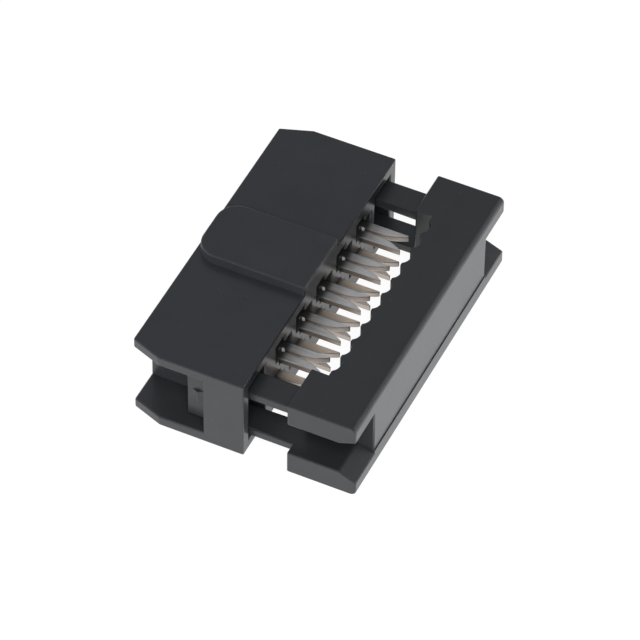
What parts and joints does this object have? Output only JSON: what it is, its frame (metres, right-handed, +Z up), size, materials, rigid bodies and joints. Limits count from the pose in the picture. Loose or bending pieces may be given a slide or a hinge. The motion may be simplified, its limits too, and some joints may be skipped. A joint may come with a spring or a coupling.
{
  "type": "idc socket",
  "caption": "Two-row ribbon cable socket with a polarising key, slotted fork contacts and a pressing cover on two latch legs, shown open for the cable.",
  "frame": {"origin": "middle of the part's box on the surface that it lies on, key side up", "axes": "+X along the two rows, -Y out of the mating face, +Y to the cable side, +Z up through the key"},
  "size_m": [0.0152, 0.0106, 0.0047],
  "materials": {
    "housing_plastic": "fine matte moulded black",
    "cover_plastic": "fine matte moulded black",
    "contact_metal": "satin tin plate over bronze strip"
  },
  "bodies": {
    "housing": {"housing": "housing_plastic", "contact_1": "contact_metal", "contact_2": "contact_metal", "contact_3": "contact_metal", "contact_4": "contact_metal", "contact_5": "contact_metal", "contact_6": "contact_metal", "contact_7": "contact_metal", "contact_8": "contact_metal", "contact_9": "contact_metal", "contact_10": "contact_metal"},
    "cover": {"cover": "cover_plastic"}
  },
  "joints": [
    {"name": "cover_press", "type": "slide", "parent": "housing", "child": "cover", "axis": [0, -1, 0], "range_m": [0, 0.00197]}
  ]
}
